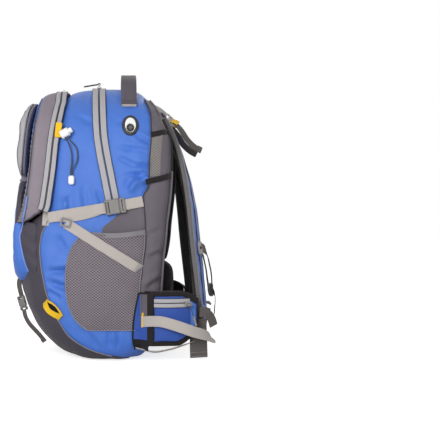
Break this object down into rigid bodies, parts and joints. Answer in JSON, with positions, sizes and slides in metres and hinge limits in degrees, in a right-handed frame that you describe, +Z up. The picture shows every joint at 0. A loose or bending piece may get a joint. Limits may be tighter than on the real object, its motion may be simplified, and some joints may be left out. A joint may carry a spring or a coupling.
{
  "type": "daypack",
  "caption": "Panel-loading hiking daypack with zipped compartments, mesh side pockets, compression straps, padded harness and hip belt",
  "frame": {"origin": "on the floor under the middle of the pack's box", "axes": "+Z up, +Y from the pack towards its wearer (the side of the shoulder straps), +X to the wearer's right"},
  "size_m": [0.3948, 0.4149, 0.559],
  "materials": {
    "black_foam": "spacer mesh over foam",
    "blue_nylon": "woven, soft sheen",
    "cord": "braided elastic cord",
    "dark_webbing": "woven webbing",
    "frame_plastic": "matt",
    "grey_mesh": "stretch mesh",
    "grey_nylon": "woven, matt",
    "grey_plastic": "satin",
    "grey_webbing": "woven webbing",
    "metal": "dull",
    "white_plastic": "satin",
    "yellow_webbing": "woven webbing",
    "zipper_tape": "knitted tape with a moulded coil"
  },
  "bodies": {
    "pack": {"back_pad": "black_foam", "back_panel": "grey_nylon", "bungee_cord_l": "cord", "bungee_cord_r": "cord", "bungee_tab_l": "yellow_webbing", "bungee_tab_r": "yellow_webbing", "compression_buckle_l": "grey_plastic", "compression_buckle_r": "grey_plastic", "compression_tail_l": "grey_webbing", "compression_tail_r": "grey_webbing", "compression_web_l": "grey_webbing", "compression_web_r": "grey_webbing", "cord_end_l": "white_plastic", "cord_end_r": "white_plastic", "frame_sheet": "frame_plastic", "front_pocket": "grey_nylon", "gear_loop_l": "yellow_webbing", "gear_loop_r": "yellow_webbing", "haul_handle": "grey_nylon", "headphone_port": "frame_plastic", "load_lifter_l": "grey_webbing", "load_lifter_r": "grey_webbing", "lower_front_pocket": "blue_nylon", "lower_web_l": "grey_webbing", "lower_web_r": "grey_webbing", "main_compartment": "blue_nylon", "mat_strap_l": "dark_webbing", "mat_strap_r": "dark_webbing", "mesh_pocket_l": "grey_mesh", "mesh_pocket_r": "grey_mesh", "organizer_compartment": "grey_nylon", "zipper_main": "zipper_tape", "zipper_organizer": "zipper_tape"},
    "front_flap": {"front_pocket_flap": "blue_nylon"},
    "front_slider": {"slider_front": "metal"},
    "main_slider": {"slider_main": "metal"},
    "main_pull": {"pull_main": "dark_webbing"},
    "organizer_slider": {"slider_organizer": "metal"},
    "sternum_clip": {"sternum_clip": "grey_plastic"},
    "hip_slider": {"slider_hip": "metal"},
    "compression_clip_r": {"compression_clip_r": "grey_plastic"},
    "mat_clip_r": {"mat_clip_r": "grey_plastic"},
    "strap_r": {"shoulder_strap_r": "blue_nylon"},
    "sternum_r": {"sternum_web_r": "dark_webbing", "sternum_buckle": "grey_plastic"},
    "lower_lock_r": {"lower_lock_r": "grey_plastic"},
    "wing_r": {"hip_wing_r": "blue_nylon", "hip_web_r": "dark_webbing", "hip_pocket": "blue_nylon"},
    "cord_lock_r": {"cord_lock_r": "white_plastic"},
    "cord_button_r": {"cord_button_r": "white_plastic"},
    "compression_clip_l": {"compression_clip_l": "grey_plastic"},
    "mat_clip_l": {"mat_clip_l": "grey_plastic"},
    "strap_l": {"shoulder_strap_l": "blue_nylon"},
    "sternum_l": {"sternum_web_l": "dark_webbing"},
    "lower_lock_l": {"lower_lock_l": "grey_plastic"},
    "wing_l": {"hip_wing_l": "blue_nylon", "hip_web_l": "dark_webbing"},
    "cord_lock_l": {"cord_lock_l": "white_plastic"},
    "cord_button_l": {"cord_button_l": "white_plastic"}
  },
  "joints": [
    {"name": "front_flap_hinge", "type": "hinge", "parent": "pack", "child": "front_flap", "pos_m": [0, -0.191, 0.351], "axis": [1, 0, 0], "range_deg": [0, 80]},
    {"name": "front_slider_run", "type": "hinge", "parent": "pack", "child": "front_slider", "pos_m": [0.021, -0.18085, 0.4115], "axis": [0, 0.9958, -0.0916], "range_deg": [0, 22]},
    {"name": "main_slider_run", "type": "hinge", "parent": "pack", "child": "main_slider", "pos_m": [0, -0.038, 0.2315], "axis": [0, 1, 0], "range_deg": [-6.5, 6.5]},
    {"name": "main_pull_swing", "type": "hinge", "parent": "main_slider", "child": "main_pull", "pos_m": [0, -0.038, 0.5454], "axis": [1, 0, 0], "range_deg": [-110, 8]},
    {"name": "organizer_slider_run", "type": "slide", "parent": "pack", "child": "organizer_slider", "axis": [1, 0, 0], "range_m": [-0.04, 0.04]},
    {"name": "compression_clip_r_release", "type": "slide", "parent": "pack", "child": "compression_clip_r", "axis": [0, 0.9864, 0.1644], "range_m": [0, 0.022], "deforming": ["compression_tail_r"]},
    {"name": "mat_clip_r_release", "type": "slide", "parent": "pack", "child": "mat_clip_r", "axis": [0, 0.2696, -0.963], "range_m": [0, 0.016]},
    {"name": "compression_clip_l_release", "type": "slide", "parent": "pack", "child": "compression_clip_l", "axis": [0, 0.9864, 0.1644], "range_m": [0, 0.022], "deforming": ["compression_tail_l"]},
    {"name": "mat_clip_l_release", "type": "slide", "parent": "pack", "child": "mat_clip_l", "axis": [0, 0.2696, -0.963], "range_m": [0, 0.016]},
    {"name": "strap_r_swing", "type": "hinge", "parent": "pack", "child": "strap_r", "pos_m": [0, 0.091, 0.463], "axis": [1, 0, 0], "range_deg": [0, 12], "deforming": ["load_lifter_r", "lower_web_r"]},
    {"name": "sternum_r_height", "type": "slide", "parent": "strap_r", "child": "sternum_r", "axis": [0, -0.1047, 0.9945], "range_m": [-0.015, 0.015]},
    {"name": "lower_lock_r_tilt", "type": "hinge", "parent": "strap_r", "child": "lower_lock_r", "pos_m": [0.09986, 0.16651, 0.06175], "axis": [-0.9608, 0.2755, -0.0319], "range_deg": [-30, 0], "deforming": ["lower_web_r"]},
    {"name": "hip_wing_r_fold", "type": "hinge", "parent": "pack", "child": "wing_r", "pos_m": [0.1592, 0.0515, 0.032], "axis": [0, 0, 1], "range_deg": [-3, 8], "deforming": ["lower_web_r"]},
    {"name": "cord_lock_r_slide", "type": "slide", "parent": "pack", "child": "cord_lock_r", "axis": [0.3223, 0.4107, -0.8529], "range_m": [0, 0.008], "deforming": ["bungee_cord_r"]},
    {"name": "cord_button_r_press", "type": "slide", "parent": "cord_lock_r", "child": "cord_button_r", "axis": [-0.1079, -0.8791, -0.4642], "range_m": [0, 0.0028], "stiffness_N_per_m": 400, "springref_m": -0.002},
    {"name": "strap_l_swing", "type": "hinge", "parent": "pack", "child": "strap_l", "pos_m": [0, 0.091, 0.463], "axis": [1, 0, 0], "range_deg": [0, 12], "deforming": ["load_lifter_l", "lower_web_l"]},
    {"name": "sternum_l_height", "type": "slide", "parent": "strap_l", "child": "sternum_l", "axis": [0, -0.1047, 0.9945], "range_m": [-0.015, 0.015]},
    {"name": "lower_lock_l_tilt", "type": "hinge", "parent": "strap_l", "child": "lower_lock_l", "pos_m": [-0.09986, 0.16651, 0.06175], "axis": [-0.9608, -0.2755, 0.0319], "range_deg": [-30, 0], "deforming": ["lower_web_l"]},
    {"name": "hip_wing_l_fold", "type": "hinge", "parent": "pack", "child": "wing_l", "pos_m": [-0.1592, 0.0515, 0.032], "axis": [0, 0, -1], "range_deg": [-3, 8], "deforming": ["lower_web_l"]},
    {"name": "cord_lock_l_slide", "type": "slide", "parent": "pack", "child": "cord_lock_l", "axis": [-0.0932, -0.0097, -0.9956], "range_m": [0, 0.008], "deforming": ["bungee_cord_l"]},
    {"name": "cord_button_l_press", "type": "slide", "parent": "cord_lock_l", "child": "cord_button_l", "axis": [0.2831, -0.9589, -0.0171], "range_m": [0, 0.0028], "stiffness_N_per_m": 400, "springref_m": -0.002},
    {"name": "sternum_clip_release", "type": "slide", "parent": "sternum_l", "child": "sternum_clip", "axis": [-1, 0, 0], "range_m": [0, 0.02], "deforming": ["sternum_web_l"]},
    {"name": "hip_slider_run", "type": "hinge", "parent": "wing_r", "child": "hip_slider", "pos_m": [0.109, 0.089, 0.112], "axis": [0, 0, 1], "range_deg": [-38, 1]}
  ],
  "couplings": [
    {"joint": "strap_l_swing", "follows": "strap_r_swing", "ratio": 1},
    {"joint": "sternum_l_height", "follows": "sternum_r_height", "ratio": 1}
  ]
}
